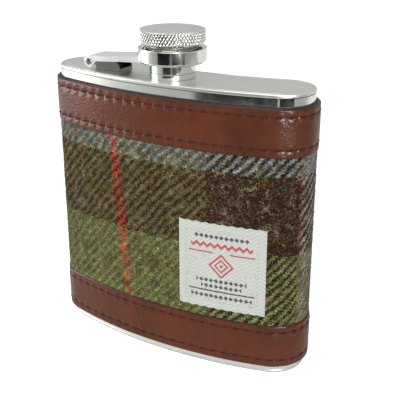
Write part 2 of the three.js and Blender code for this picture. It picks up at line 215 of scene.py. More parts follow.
class FlaskStudio(bpy.types.PropertyGroup):
    floor: colour("Floor", "Plain pale floor", 0.94, 0.94, 0.94)
    sky: FloatProperty(name="Room light", description="Strength of the light all round", default=0.45, min=0)
    left: power("Left light", "Power of the left soft box", 1.05)
    right: power("Right light", "Power of the right soft box", 0.8)
    top: power("Top light", "Power of the top soft box", 1.5)
    glint: power("Glint", "Power of the low boxes that only shine", 2.8)
    azimuth: angle("Azimuth", "Camera's turn to the right of the front", 30.77)
    elevation: angle("Elevation", "Camera's height over the horizon", 21.29)
    distance: length("Distance", "From the middle of the flask to the camera", 274.31)
    lens: FloatProperty(name="Lens", description="Focal length for a 36 mm sensor", default=72.566, min=10)


# ---- Nodes ----


class Wire:
    """What a node puts out. Wires are added, multiplied and so on as numbers are."""

    def __init__(self, socket):
        self.socket, self.tree = socket, socket.id_data

    __add__ = __radd__ = lambda self, other: maths("ADD", self, other)
    __mul__ = __rmul__ = lambda self, other: maths("MULTIPLY", self, other)
    __sub__ = lambda self, other: maths("SUBTRACT", self, other)
    __rsub__ = lambda self, other: maths("SUBTRACT", other, self)
    __truediv__ = lambda self, other: maths("DIVIDE", self, other)


class Made:
    """A node, whose outputs are taken from it as wires by name or number."""

    def __init__(self, made):
        self.made = made

    def __getitem__(self, key):
        return Wire(self.made.outputs[key])


def node(tree, kind, sockets=(), **settings):
    """A node with its settings, and with a value or a wire for each socket that is given."""
    made = tree.nodes.new(kind)
    for name, value in settings.items():
        setattr(made, name, value)
    for key, value in dict(sockets).items():
        if isinstance(value, Wire):
            tree.links.new(value.socket, made.inputs[key])
        else:
            made.inputs[key].default_value = value
    return Made(made)


def tree_of(*values):
    return next(value.tree for value in values if isinstance(value, Wire))


def maths(operation, *values):
    return node(tree_of(*values), "ShaderNodeMath", enumerate(values), operation=operation)[0]


def vectors(operation, first, second=(0, 0, 0), by=1.0):
    sockets = {0: first, 1: second, 3: by}
    return node(first.tree, "ShaderNodeVectorMath", sockets, operation=operation)[0]


def parts(vector):
    split = node(vector.tree, "ShaderNodeSeparateXYZ", {0: vector})
    return split[0], split[1], split[2]


def mapped(vector, **sockets):
    return node(vector.tree, "ShaderNodeMapping", {"Vector": vector, **sockets})[0]


def mixed(factor, first, second, blend="MIX"):
    """Two colours mixed by a factor."""
    first, second = (c if isinstance(c, Wire) else (*c, 1) for c in (first, second))
    sockets = {0: factor, 6: first, 7: second}
    return node(tree_of(factor, first), "ShaderNodeMix", sockets, data_type="RGBA", blend_type=blend)[2]


def dimmed(shade, share):
    return tuple(share * part for part in shade)


def ramp(value, stops, interpolation="LINEAR"):
    """A colour ramp with (place, colour or grey) stops."""
    made = node(value.tree, "ShaderNodeValToRGB", {"Fac": value})
    elements = made.made.color_ramp.elements
    made.made.color_ramp.interpolation = interpolation
    while len(elements) < len(stops):
        elements.new(1)
    for element, (place, shade) in zip(elements, stops):
        element.position = place
        element.color = (*shade, 1) if hasattr(shade, "__len__") else (shade, shade, shade, 1)
    return made["Color"]


def spread(value, low, high, to_low, to_high):
    """The value, from one range to another."""
    return node(value.tree, "ShaderNodeMapRange", enumerate((value, low, high, to_low, to_high)))[0]


def noise_of(vector, scale, detail=2.0, roughness=0.55):
    sockets = {"Vector": vector, "Scale": scale, "Detail": detail, "Roughness": roughness}
    return node(vector.tree, "ShaderNodeTexNoise", sockets)


def grain(*given):
    return noise_of(*given)["Fac"]


def strayed(vector, coloured, reach):
    """A place moved by a coloured noise, this far at most to either side."""
    centred = vectors("SUBTRACT", coloured["Color"], (0.5, 0.5, 0.5))
    return vectors("ADD", vector, vectors("SCALE", centred, by=reach))


def cells(vector, scale):
    return node(vector.tree, "ShaderNodeTexVoronoi", {"Vector": vector, "Scale": scale})["Distance"]


def attribute(tree, name):
    return node(tree, "ShaderNodeAttribute", attribute_name=name)["Fac"]


def object_place(tree):
    return node(tree, "ShaderNodeTexCoord")["Object"]


def flat_place(tree):
    """The piece's own flat layout, in metres."""
    return node(tree, "ShaderNodeUVMap", uv_map="Flat")["UV"]


def group(name, inputs, outputs, build):
    """A shader node group of numbers, built once. build(given wires) gives its output values by name."""
    tree = bpy.data.node_groups.get(name)
    if tree:
        return tree
    tree = bpy.data.node_groups.new(name, "ShaderNodeTree")
    tree.interface.new_socket("Vector", in_out="INPUT", socket_type="NodeSocketVector")
    for label, default in inputs.items():
        socket = tree.interface.new_socket(label, in_out="INPUT", socket_type="NodeSocketFloat")
        socket.default_value = default
    for label in outputs:
        tree.interface.new_socket(label, in_out="OUTPUT", socket_type="NodeSocketFloat")
    values = build(Made(tree.nodes.new("NodeGroupInput")))
    leave = tree.nodes.new("NodeGroupOutput")
    for label, value in zip(outputs, values):
        tree.links.new(value.socket, leave.inputs[label])
    return tree


def placed(made, **sockets):
    """The outputs of a group, placed in a material with its own values."""
    names = {key.capitalize(): value for key, value in sockets.items()}
    return node(sockets["vector"].tree, "ShaderNodeGroup", names, node_tree=made)


def twill_group():
    """A two-and-two twill: which yarn is on top, its height, and a number for each yarn."""

    def crown(value):
        """0 at the yarn's edges and 1 along its middle."""
        offset = value * 2 - 1
        return 1 - offset * offset

    def float_of(moving, fixed, start):
        """How far along its float, from 0 to 1, a yarn is."""
        return maths("FLOORED_MODULO", moving - fixed - start, 4) / 2

    def build(given):
        x, y, _ = parts(given["Vector"])
        across, up = x / given["Yarn"], y / given["Yarn"]
        warp, weft = maths("FLOOR", across), maths("FLOOR", up)
        over = maths("LESS_THAN", maths("FLOORED_MODULO", warp - weft, 4), 1.5)

        def on_top(of_warp, of_weft):
            return over * of_warp + (1 - over) * of_weft

        height = on_top(
            crown(maths("FRACT", across)) + crown(float_of(up, warp, -1)),
            crown(maths("FRACT", up)) + crown(float_of(across, weft, 2)),
        )
        number = {"W": on_top(warp, weft + 500)}
        chance = node(over.tree, "ShaderNodeTexWhiteNoise", number, noise_dimensions="1D")["Value"]
        return over, height * 0.5, chance

    return group("Twill weave", {"Yarn": 0.0008}, ("Over", "Height", "Chance"), build)


def handling_group():
    """Smudges and fine scratches, as on metal and leather that is handled."""

    def build(given):
        place = given["Vector"]
        mask = grain(place, 55.0, 3.0, 0.6) * 0.65 + grain(place, 420.0, 3.0, 0.6) * 0.35
        roughness = given["Smooth"] + spread(mask, 0.35, 0.7, 0.0, 1.0) * given["Spread"]
        return mask, roughness, grain(mapped(place, Scale=(60, 2600, 380)), 1.0, 2.0, 0.5)

    return group("Handling", {"Smooth": 0.1, "Spread": 0.1}, ("Mask", "Roughness", "Lines"), build)


def twist_group():
    """The turns of a twisted sewing thread that runs along the flat layout."""

    def build(given):
        x, y, _ = parts(given["Vector"])
        turn = maths("FRACT", (x + y * 0.8) / given["Pitch"])
        fuzz = grain(given["Vector"], 2600.0, 3.0, 0.7)
        return maths("SINE", turn * math.pi) + fuzz * 0.5, fuzz

    return group("Twisted thread", {"Pitch": 0.0004}, ("Height", "Fuzz"), build)


# ---- Finishes: each gives a colour, a roughness, and the height and depth of its bump ----


def polished(tree, clean, dull):
    worn = placed(handling_group(), vector=object_place(tree), smooth=0.05, spread=0.12)
    shade = mixed(spread(worn["Mask"], 0.3, 0.75, 0.0, 0.35), clean, dull)
    return shade, worn["Roughness"], worn["Lines"], 0.0000015


def brushed(tree, clean, streak):
    worn = placed(handling_group(), vector=object_place(tree), smooth=0.26, spread=0.16)
    shade = mixed(spread(worn["Lines"], 0.3, 0.7, 0.0, 0.25), clean, streak)
    return shade, worn["Roughness"], worn["Lines"], 0.0000025


def knurled(tree, colours):
    worn = placed(handling_group(), vector=object_place(tree), smooth=0.14, spread=0.16)
    # Painted shade: the knurl is darkened in its grooves, by their depth
    shade = mixed(attribute(tree, "depth"), colours.steel, dimmed(colours.satin, 0.12))
    return shade, worn["Roughness"], worn["Lines"], 0.000003


def leather(tree, colours):
    place = object_place(tree)
    worn = placed(handling_group(), vector=place, smooth=0.30, spread=0.14)
    pits, pores, folds = cells(place, 1500.0), cells(place, 520.0), grain(place, 70.0, 4.0, 0.55)
    # Painted shade: the leather is darker in the low parts of its folds
    shade = mixed(spread(folds, 0.30, 0.62, 0.0, 1.0), colours.leather_shaded, colours.leather)
    shade = mixed(spread(pits, 0.15, 0.75, 0.0, 0.22), shade, dimmed(colours.leather, 1.35))
    ragged = attribute(tree, "rim") * spread(folds, 0.3, 0.6, 0.75, 1.05)
    shade = mixed(maths("MINIMUM", ragged, 1.0), shade, colours.leather_edge_and_hole_shade)
    # Painted shade: the needle holes are darkened with the edge colour
    shade = mixed(attribute(tree, "hole") * 0.7, shade, colours.leather_edge_and_hole_shade)
    return shade, worn["Roughness"], pits * 1.1 + (pores * 0.5 + folds * 1.2), 0.00010


def twisted(tree, shade, pitch, shadow, roughness, depth):
    twist = placed(twist_group(), vector=flat_place(tree), pitch=pitch)
    shade = mixed(spread(twist["Height"], 0.2, 1.2, 0.0, 1.0), dimmed(shade, shadow), shade)
    return shade, spread(twist["Fuzz"], 0.3, 0.7, *roughness), twist["Height"], depth


# Colours of the warp by place along the wrap, and of the weft by height, in millimetres
WARP = [(-HALF_GIRTH / MM, "olive"), (-16.9, "red"), (-12.7, "olive"), (18.0, "brown"), (48.6, "orange"),
        (49.6, "lilac"), (66.0, "olive"), (88.0, "brown")]
WEFT = [(0.0, "green"), (42.6, "brown"), (68.6, "blue")]

# Flecks of other wool carded into the yarn: seed, scale, colour, and the noise at which they show
FLECKS = (
    (0.31, 620.0, (0.27, 0.19, 0.03), 0.66),
    (0.57, 560.0, (0.20, 0.04, 0.010), 0.65),
    (0.83, 590.0, (0.06, 0.09, 0.13), 0.65),
    (0.12, 900.0, (0.30, 0.27, 0.17), 0.67),
    (0.45, 480.0, (0.022, 0.013, 0.008), 0.62),
)
FIBRE_SHADES = [
    (0.0, (0.03, 0.012, 0.006)),
    (0.44, (0.07, 0.05, 0.02)),
    (0.56, (0.15, 0.13, 0.065)),
    (0.66, (0.40, 0.31, 0.18)),
]


def tweed(tree, colours):
    flat = flat_place(tree)
    uneven = strayed(flat, noise_of(flat, 120.0, 2.0, 0.5), 0.0022)
    uneven = strayed(uneven, noise_of(flat, 1300.0, 3.0, 0.7), 0.0021)
    # The cloth leans a little on its left side
    along, height, _ = parts(flat)
    lean = spread(height, 0.019, 0.075, -0.0022, 0.0022) * spread(along, -0.008, 0.014, 1.0, 0.0)
    uneven = vectors("ADD", uneven, node(tree, "ShaderNodeCombineXYZ", {0: lean})[0])
    weave = placed(twill_group(), vector=uneven, yarn=bpy.context.scene.flask_sizes.yarn)

    def stripes(value, low, high, rows):
        """Yarn colours in order, by a value that is in metres."""
        stops = [(max(0.0, (at * MM - low) / (high - low)), getattr(colours, shade)) for at, shade in rows]
        return ramp(spread(value, low, high, 0.0, 1.0), stops, "CONSTANT")

    x, y, _ = parts(uneven)
    shade = mixed(weave["Over"], stripes(y, 0.0, 0.1, WEFT), stripes(x, -HALF_GIRTH, HALF_GIRTH, WARP))
    heather = noise_of(flat, 1500.0, 3.0, 0.7)
    light = spread(heather["Fac"], 0.3, 0.7, 0.25, 1.95)
    mottle = spread(grain(flat, 330.0, 3.0, 0.6), 0.3, 0.7, 0.62, 1.38)
    yarns = spread(weave["Chance"], 0.0, 1.0, 0.84, 1.16)
    # Painted shade: the cloth is darker where the twill lies low between its yarns
    hollow = spread(weave["Height"], 0.0, 1.0, 0.46, 1.14)
    shade = mixed(0.30, shade, heather["Color"], "OVERLAY")
    shade = vectors("SCALE", shade, by=light * yarns * (hollow * mottle))
    for seed, scale, fleck, share in FLECKS:
        spot = grain(mapped(flat, Location=(seed, seed, 0)), scale, 2.0, 0.6)
        shade = mixed(spread(spot, share - 0.05, share, 0.0, 0.55), shade, fleck)
    return shade, None, weave["Height"] + heather["Fac"] * 0.7, 0.00022


def wool_fibre(tree, colours):
    place = object_place(tree)
    rough = grain(place, 2500.0)
    shade = ramp(grain(place, 300.0, 2.0, 0.6), FIBRE_SHADES)
    return shade, spread(rough, 0.3, 0.7, 0.7, 0.95), rough, 0.00001


def woven_label(tree, colours):
    """A herringbone ground and a plain pattern of rules, a zigzag and lozenges, in millimetres."""
    left, right = label_span()
    centre = (-(left + right) / 2, -(LABEL_LOW.z + LABEL_HIGH.z) / 2, 0)
    in_mm = vectors("SCALE", mapped(flat_place(tree), Location=centre), by=1 / MM)
    x, y, _ = parts(strayed(in_mm, noise_of(in_mm, 1.6, 2.0, 0.5), 0.3))
    side = maths("ABSOLUTE", x)

    def below(value, limit):
        return maths("LESS_THAN", value, limit)

    def near(value, middle, reach):
        """1 where the value is within reach of the middle."""
        return below(maths("ABSOLUTE", value - middle), reach)

    def either(first, *others):
        for mask in others:
            first = maths("MAXIMUM", first, mask)
        return first

    def lozenges(row, size, reach):
        """A row of small filled lozenges."""
        across = maths("PINGPONG", x, 0.85)
        return below(across + maths("ABSOLUTE", y - row), size) * below(side, reach)

    from_middle = side + maths("ABSOLUTE", y - 0.6)
    red = either(
        near(y - maths("PINGPONG", x, 1.2), 6.9, 0.52) * below(side, 10.4),
        near(y, 5.0, 0.24) * below(side, 11.2) * maths("GREATER_THAN", side, 3.0),
        near(from_middle, 3.9, 0.42),
        near(from_middle, 2.1, 0.36),
        below(from_middle, 0.7),
    )
    black = either(
        lozenges(10.5, 0.80, 9.4),
        lozenges(-4.9, 0.78, 8.6),
        lozenges(-6.9, 0.78, 6.9),
        near(y, -8.6, 0.26) * below(side, 11.2),
        lozenges(-10.5, 0.80, 10.4),
    )
    bones = node(tree, "ShaderNodeCombineXYZ", {0: maths("PINGPONG", x, 1.2), 1: y})[0]
    weave = placed(twill_group(), vector=bones, yarn=0.34)
    # Painted shade: the label is darker where its weave lies low
    strength = spread(weave["Height"], 0.0, 1.0, 0.74, 1.08) * spread(weave["Over"], 0.0, 1.0, 0.90, 1.04)
    shade = mixed(red * 0.92, colours.label, colours.label_red)
    shade = vectors("SCALE", mixed(black * 0.90, shade, colours.label_black), by=strength)
    return shade, None, weave["Height"] + either(red, black) * 0.5, 0.00012


def coated_backing(tree, colours):
    weave = placed(twill_group(), vector=flat_place(tree), yarn=0.0004)
    dust = grain(object_place(tree), 350.0, 3.0)
    shade = mixed(spread(dust, 0.4, 0.75, 0.0, 1.0), colours.backing, dimmed(colours.backing, 2.2))
    return shade, spread(dust, 0.3, 0.7, 0.65, 0.9), weave["Height"], 0.00005


def silicone(tree, colours):
    worn = placed(handling_group(), vector=object_place(tree), smooth=0.45, spread=0.2)
    shade = mixed(spread(worn["Mask"], 0.35, 0.65, 0.0, 1.0), colours.silicone, dimmed(colours.silicone, 0.8))
    return shade, worn["Roughness"], worn["Mask"], 0.00002


STEEL = {"Metallic": 1.0}
FINISHES = {
    "Polished steel": (lambda tree, c: polished(tree, c.steel, c.satin), STEEL),
    # A darkened copy of polished steel, as painted shade
    "Shade-painted steel": (lambda tree, c: polished(tree, c.shade_painted_steel, c.satin), STEEL),
    "Satin steel": (lambda tree, c: brushed(tree, c.satin, c.steel), STEEL),
    # A brightened copy of brushed steel, as a painted highlight
    "Highlight-painted steel": (lambda tree, c: brushed(tree, c.pale, c.steel), STEEL),
    "Knurled steel": (knurled, STEEL),
    "Red-brown leather": (leather, {"Coat Weight": 0.20, "Coat Roughness": 0.22, "Specular IOR Level": 0.13}),
    "Sewing thread": (
        lambda tree, c: twisted(tree, c.thread, 0.00042, 0.3, (0.45, 0.75), 0.00006),
        {"Sheen Weight": 0.03, "Specular IOR Level": 0.12},
    ),
    "Label thread": (
        lambda tree, c: twisted(tree, c.label, 0.0003, 0.6, (0.5, 0.8), 0.00004),
        {"Sheen Weight": 0.2, "Sheen Roughness": 0.5},
    ),
    "Tartan tweed": (
        tweed,
        {"Roughness": 0.9, "Sheen Weight": 0.02, "Sheen Roughness": 0.6, "Specular IOR Level": 0.06},
    ),
    "Wool fibre": (wool_fibre, {"Sheen Weight": 0.03, "Specular IOR Level": 0.08}),
    "Woven label": (woven_label, {"Roughness": 0.75, "Sheen Weight": 0.1, "Sheen Roughness": 0.5}),
    "Coated backing": (coated_backing, {}),
    "Silicone": (silicone, {"Specular IOR Level": 0.4}),
}


def material(name, constants):
    """A material, and its shader with these constants."""
    made = bpy.data.materials.new(name)
    made.use_nodes = True
    shader = made.node_tree.nodes["Principled BSDF"]
    for label, value in constants.items():
        shader.inputs[label].default_value = value
    return made, shader


def linked(shader, **wires):
    for label, wire in wires.items():
        wire.tree.links.new(wire.socket, shader.inputs[label.replace("_", " ")])


def finish_of(name):
    """The named finish, made the first time that a piece needs it."""
    if name in bpy.data.materials:
        return bpy.data.materials[name]
    draw, constants = FINISHES[name]
    made, shader = material(name, constants)
    shade, roughness, height, depth = draw(made.node_tree, bpy.context.scene.flask_colours)
    bump = node(made.node_tree, "ShaderNodeBump", {"Height": height, "Distance": depth, "Strength": 1.0})
    linked(shader, Base_Color=shade, Normal=bump["Normal"])
    if roughness:
        linked(shader, Roughness=roughness)
    return made


# ---- Shaping ----


def mesh_of(name, bm):
    mesh = bpy.data.meshes.new(name)
    bm.to_mesh(mesh)
    bm.free()
    return mesh


def in_scene(name, data):
    made = bpy.data.objects.new(name, data)
    bpy.context.scene.collection.objects.link(made)
    return made


def verts_of(made):
    return [item for item in made if isinstance(item, bmesh.types.BMVert)]


def kidney_loop(bm, offset, height):
    """The vessel's outline, this far outside the steel, as a closed loop of edges."""
    before = set(bm.edges)
    start = bm.verts.new((0, CENTRE_Y - (BEND - HALF - offset), height))
    last = [start]
    for x, y, turn, steps in (
        (0, CENTRE_Y, LEAN, BEND_STEPS // 2),
        (END_X, END_Y, -math.pi, END_STEPS),
        (0, CENTRE_Y, -2 * LEAN, BEND_STEPS),
        (-END_X, END_Y, -math.pi, END_STEPS),
        (0, CENTRE_Y, LEAN, BEND_STEPS // 2),
    ):
        spun = bmesh.ops.spin(
            bm, geom=last, cent=(x, y, height), axis=(0, 0, 1), angle=turn, steps=steps, use_merge=False
        )
        last = verts_of(spun["geom_last"])
    bmesh.ops.remove_doubles(bm, verts=[start, *last], dist=SAME / 2)
    return [edge for edge in bm.edges if edge not in before]


def bridged(bm, loops):
    """Joins each loop to the next with faces."""
    for first, second in zip(loops, loops[1:]):
        bmesh.ops.bridge_loops(bm, edges=first + second)


def turned(bm, profile):
    """A closed chain of (radius, height) in millimetres, turned about the neck's axis."""
    points = [bm.verts.new((radius * MM, NECK_Y, height * MM)) for radius, height in profile]
    edges = [bm.edges.new(pair) for pair in zip(points, [*points[1:], points[0]])]
    bmesh.ops.spin(
        bm, geom=points + edges, cent=(0, NECK_Y, 0), axis=(0, 0, 1), angle=2 * math.pi,
        steps=TURN_STEPS, use_merge=True,
    )
    bmesh.ops.remove_doubles(bm, verts=bm.verts, dist=SAME / 2)
    bmesh.ops.recalc_face_normals(bm, faces=bm.faces)


def screw_thread(bm, middle, foot, turns):
    """A round-crested thread wound about the neck's axis, in millimetres."""
    place = Matrix.Translation((middle * MM, NECK_Y, foot * MM)) @ Matrix.Rotation(math.pi / 2, 4, "X")
    radius = THREAD_CREST * MM
    made = bmesh.ops.create_circle(bm, cap_ends=True, radius=radius, segments=ROD_STEPS, matrix=place)
    made = made["verts"]
    faces = list({face for vert in made for face in vert.link_faces})
    edges = list({edge for vert in made for edge in vert.link_edges})
    steps = round(WINDING_STEPS * turns)
    bmesh.ops.spin(
        bm, geom=made + edges + faces, cent=(0, NECK_Y, 0), axis=(0, 0, 1), angle=2 * math.pi * turns,
        dvec=(0, 0, THREAD_PITCH * turns / steps * MM), steps=steps, use_merge=False,
    )
    bmesh.ops.recalc_face_normals(bm, faces=bm.faces)


def rounded(bm, width, sharper, segments):
    """Rounds every edge that turns by more than this angle."""
    edges = [e for e in bm.edges if e.is_manifold and e.calc_face_angle(0) > math.radians(sharper)]
    bmesh.ops.bevel(
        bm, geom=edges, offset=width, offset_type="OFFSET", segments=segments, profile=0.5,
        affect="EDGES", material=-1, clamp_overlap=True,
    )


def flat_sheet(left, right, low, high, across, up, layers=()):
    """A grid that lies flat: x is the way along the wrap, y the height and z how far it stands out."""
    bm = bmesh.new()
    for layer in layers:
        bm.verts.layers.float.new(layer)
    made = bmesh.ops.create_grid(bm, x_segments=across, y_segments=up, size=0.5)["verts"]
    bmesh.ops.scale(bm, vec=(right - left, high - low, 1), verts=made)
    bmesh.ops.translate(bm, vec=((left + right) / 2, (low + high) / 2, 0), verts=made)
    return bm


def thickened(bm, back, face):
    """Gives a flat sheet its thickness; back and face tell how far out each side lies."""
    made = bmesh.ops.extrude_face_region(bm, geom=bm.faces[:], use_keep_orig=True)
    fronts = set(verts_of(made["geom"]))
    for vert in bm.verts:
        vert.co.z = (face if vert in fronts else back)(vert.co.x, vert.co.y)
    bmesh.ops.recalc_face_normals(bm, faces=bm.faces)
    return fronts


def wrapped(bm):
    """Keeps the flat layout as the piece's UV map and lays the piece round the vessel."""
    flat = bm.loops.layers.uv.new("Flat")
    for face in bm.faces:
        for loop in face.loops:
            loop[flat].uv = loop.vert.co.xy
    for vert in bm.verts:
        vert.co = around(vert.co.x, vert.co.z, vert.co.y)


def add_piece(name, bm, finish, body, stands_for, sharper=40):
    """Makes the piece's object, parents it to its body's empty and hides the node that it stands for."""
    if not bm.faces:
        raise RuntimeError(f"{name} has no faces")
    for face in bm.faces:
        face.smooth = True
    for edge in bm.edges:
        edge.smooth = not edge.is_manifold or edge.calc_face_angle(0) < math.radians(sharper)
    piece = in_scene(name, mesh_of(name, bm))
    piece.data.materials.append(finish_of(finish))
    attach(piece, body)
    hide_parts(stands_for)
    return piece


def from_node(name):
    """A merged copy of a node's mesh, with the flat faces made whole."""
    bm = bmesh.new()
    bm.from_mesh(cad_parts[name].data)
    bmesh.ops.remove_doubles(bm, verts=bm.verts, dist=SAME)
    bmesh.ops.dissolve_limit(
        bm, angle_limit=math.radians(0.5), verts=bm.verts, edges=bm.edges, use_dissolve_boundaries=False
    )
    return bm


def radius_of(low, high):
    """The radius of a turned node's box, in millimetres."""
    return (high.x - low.x) / 2 / MM


# ---- The vessel ----

# A line pressed into the top plate inside its rim: how far in and how deep, in millimetres
BEAD = ((0, 0), (0.06, 0.09), (0.16, 0.09), (0.22, 0))


class FLASK_OT_vessel_wall(bpy.types.Operator):
    """Makes the kidney-section steel wall"""

    bl_idname = "flask.vessel_wall"
    bl_label = "Vessel wall"

    def execute(self, context):
        low, high = WALL_LOW.z, WALL_HIGH.z
        bm = bmesh.new()
        corners = ((0, low), (0, high), (-WALL_GAUGE, high), (-WALL_GAUGE, low))
        loops = [kidney_loop(bm, *corner) for corner in corners]
        bridged(bm, [*loops, loops[0]])
        bmesh.ops.recalc_face_normals(bm, faces=bm.faces)
        add_piece("vessel_wall", bm, "Polished steel", "flask", "body_wall")
        return {"FINISHED"}


def ring(bm, radius, height):
    """A round loop of edges about the neck's axis."""
    place = Matrix.Translation((0, NECK_Y, height))
    made = bmesh.ops.create_circle(bm, cap_ends=False, radius=radius, segments=TURN_STEPS, matrix=place)
    return list({edge for vert in made["verts"] for edge in vert.link_edges})


def end_plate(sizes, low, high, hole=None, bead=()):
    """A kidney plate with a rounded rim, and perhaps a round hole and a line inside its rim."""
    bm = bmesh.new()
    rim = sizes.plate_rim
    turns = [math.radians(90) * step / 4 for step in range(5)]
    rows = [(-rim + rim * math.sin(turn), low + rim - rim * math.cos(turn)) for turn in turns]
    rows += [(-rim + rim * math.cos(turn), high - rim + rim * math.sin(turn)) for turn in turns]
    rows += [(-sizes.bead - inward * MM, high - depth * MM) for inward, depth in bead]
    loops = [kidney_loop(bm, *row) for row in rows]
    bridged(bm, loops)
    bottom, top = loops[0], loops[-1]
    if hole:
        foot, crown = ring(bm, hole, low), ring(bm, hole, high)
        bridged(bm, [foot, crown])
        bottom, top = bottom + foot, top + crown
    for edges in (top, bottom):
        bmesh.ops.triangle_fill(bm, use_beauty=True, edges=edges)
    bmesh.ops.recalc_face_normals(bm, faces=bm.faces)
    return bm


class FLASK_OT_plates(bpy.types.Operator):
    """Makes the top plate, with its hole for the neck, and the base plate"""

    bl_idname = "flask.plates"
    bl_label = "Top and base plates"

    def execute(self, context):
        sizes = context.scene.flask_sizes
        top = end_plate(sizes, PLATE_LOW.z, PLATE_HIGH.z, (SPIGOT + FIT) * MM, BEAD)
        base = end_plate(sizes, BASE_LOW.z, BASE_HIGH.z)
        add_piece("plate_top", top, "Satin steel", "flask", "top_plate", TURNED)
        add_piece("plate_base", base, "Satin steel", "flask", "base_plate", TURNED)
        return {"FINISHED"}


class FLASK_OT_neck(bpy.types.Operator):
    """Makes the turned neck and its outer thread"""

    bl_idname = "flask.neck"
    bl_label = "Neck"

    def execute(self, context):
        foot, mouth = NECK_LOW.z / MM, NECK_HIGH.z / MM
        seat = PLATE_HIGH.z / MM + FIT
        shoulder = PLATE_HIGH.z / MM + SHOULDER_HEIGHT
        bm = bmesh.new()
        turned(bm, [
            (BORE, foot), (SPIGOT, foot), (SPIGOT, seat), (SHOULDER, seat), (SHOULDER, shoulder),
            (TUBE, shoulder), (TUBE, mouth - MOUTH_EDGE), (TUBE - MOUTH_EDGE, mouth), (BORE, mouth),
        ])
        rounded(bm, 0.1 * MM, 30, 2)
        screw_thread(bm, TUBE, 97.85, 4 / 3)
        add_piece("neck_tube", bm, "Polished steel", "flask", "neck", TURNED)
        return {"FINISHED"}


def folded(piece, finish, body, stands_for, width, segments):
    """A piece of bent sheet or plain rod in its node's own shape, with rounded edges."""
    bm = from_node(stands_for)
    rounded(bm, width, 35, segments)
    add_piece(piece, bm, finish, body, stands_for, FLAT)


class FLASK_OT_hinge(bpy.types.Operator):
    """Makes the folded bracket and the headed pin"""

    bl_idname = "flask.hinge"
    bl_label = "Hinge"

    def execute(self, context):
        head = 0.7 * context.scene.flask_sizes.edge
        # The bracket and pin take the darkened steel, as painted shade
        folded("bracket", "Shade-painted steel", "flask", "hinge_bracket", 0.10 * MM, 2)
        folded("pin", "Shade-painted steel", "flask", "hinge_pin", head, 3)
        return {"FINISHED"}


# ---- The wrap ----

FIBRE_STEPS, FIBRE_WIDTH = 4, 0.075 * MM
EDGE_ROUND = 0.45 * MM  # how far in from its edge the leather turns down
GROOVE = 0.13 * MM  # depth of the leather along a row of stitches
PLUMP = 0.10 * MM  # how much fuller a band is along its middle
CREASE = 0.07 * MM
MOUND = 0.11 * MM  # height of the leather beside a needle hole
HEM = 2.5 * MM  # width of the label's turned edge, along which it is sewn
RIPPLE = 0.16 * MM  # waviness of the label's top and bottom edges


class FLASK_OT_backing(bpy.types.Operator):
    """Makes the thin black backing of the wrap"""

    bl_idname = "flask.backing"
    bl_label = "Backing"

    def execute(self, context):
        low, high = BACKING_LOW.z, BACKING_HIGH.z
        bm = flat_sheet(-REACH, REACH, low, high, 260, 24)
        inner, outer = BACKING_OUT
        thickened(bm, lambda s, z: inner, lambda s, z: outer + 0.02 * MM * sway(s, z, 0, 400))
        wrapped(bm)
        sheet = add_piece("backing", bm, "Coated backing", "flask", "wrap_backing")
        return {"FINISHED"}


def rib_height(along, height, yarn):
    """From 0 to 1, how high the twill stands at a place on the flat cloth."""
    across, up = along / yarn, height / yarn
    warp, weft = math.floor(across), math.floor(up)
    if (warp - weft) % 4 < 2:
        run, side = ((up - warp + 1) % 4) / 2, across - warp
    else:
        run, side = ((across - weft - 2) % 4) / 2, up - weft
    return 1 - ((2 * run - 1) ** 2 + (2 * side - 1) ** 2) / 2


class FLASK_OT_tweed(bpy.types.Operator):
    """Makes the tartan cloth and the loose fibres on it"""

    bl_idname = "flask.tweed"
    bl_label = "Tweed"

    def execute(self, context):
        sizes = context.scene.flask_sizes
        low, high = TWEED_LOW.z, TWEED_HIGH.z
        bm = flat_sheet(-REACH, REACH, low, high, 600, 156)
        for vert in bm.verts:
            s, z = vert.co.xy
            vert.co.z = TWEED_OUT[1] - 0.10 * MM
            if low + LAP <= z <= high - LAP:
                vert.co.z += rib_height(s, z, sizes.yarn) * sizes.rib + 0.05 * MM * sway(s, z, 0.3, 150)
        rim = [edge for edge in bm.edges if edge.is_boundary]
        for vert in verts_of(bmesh.ops.extrude_edge_only(bm, edges=rim)["geom"]):
            vert.co.z = TWEED_OUT[0]
        wrapped(bm)
        cloth = add_piece("tweed_cloth", bm, "Tartan tweed", "flask", "tweed_panel", SOFT)
        fibres = self.fibres(sizes, low + LAP, high - LAP)
        return {"FINISHED"}

    def fibres(self, sizes, low, high):
        """Short curled ribbons, each a few faces long, standing a little off the cloth."""
        chance = random.Random(11)
        strands = [
            (
                chance.uniform(-HALF_GIRTH + 1 * MM, HALF_GIRTH - 1 * MM),
                chance.uniform(low + 0.6 * MM, high - 0.6 * MM),
                chance.uniform(0, 2 * math.pi),
                chance.uniform(-3.0, 3.0),
                chance.uniform(0.9, 3.8) * MM,
                chance.uniform(0.05, 0.55) * MM,
            )
            for _ in range(sizes.fibres)
        ]
        spans = 2 * sizes.fibres - 1
        bm = bmesh.new()
        bmesh.ops.create_grid(bm, x_segments=spans, y_segments=FIBRE_STEPS, size=0.5)
        between = [f for f in bm.faces if round((f.calc_center_median().x + 0.5) * spans - 0.5) % 2]
        bmesh.ops.delete(bm, geom=between, context="FACES")
        for vert in bm.verts:
            column, share = round((vert.co.x + 0.5) * spans), vert.co.y + 0.5
            share = round(share * FIBRE_STEPS) / FIBRE_STEPS
            s, z, heading, curl, size, lift = strands[column // 2]
            direction, turn = heading + curl * share, heading + curl * share / 2
            aside = (0.5 - column % 2) * FIBRE_WIDTH
            x = s + size * share * math.cos(turn) - aside * math.sin(direction)
            y = z + size * share * math.sin(turn) + aside * math.cos(direction)
            out = TWEED_OUT[1] + sizes.rib * 0.4 + lift * math.sin(math.pi * share)
            vert.co = (x, min(max(y, low), high), out)
        wrapped(bm)
        return add_piece("tweed_fibres", bm, "Wool fibre", "flask", "tweed_panel", SOFT)


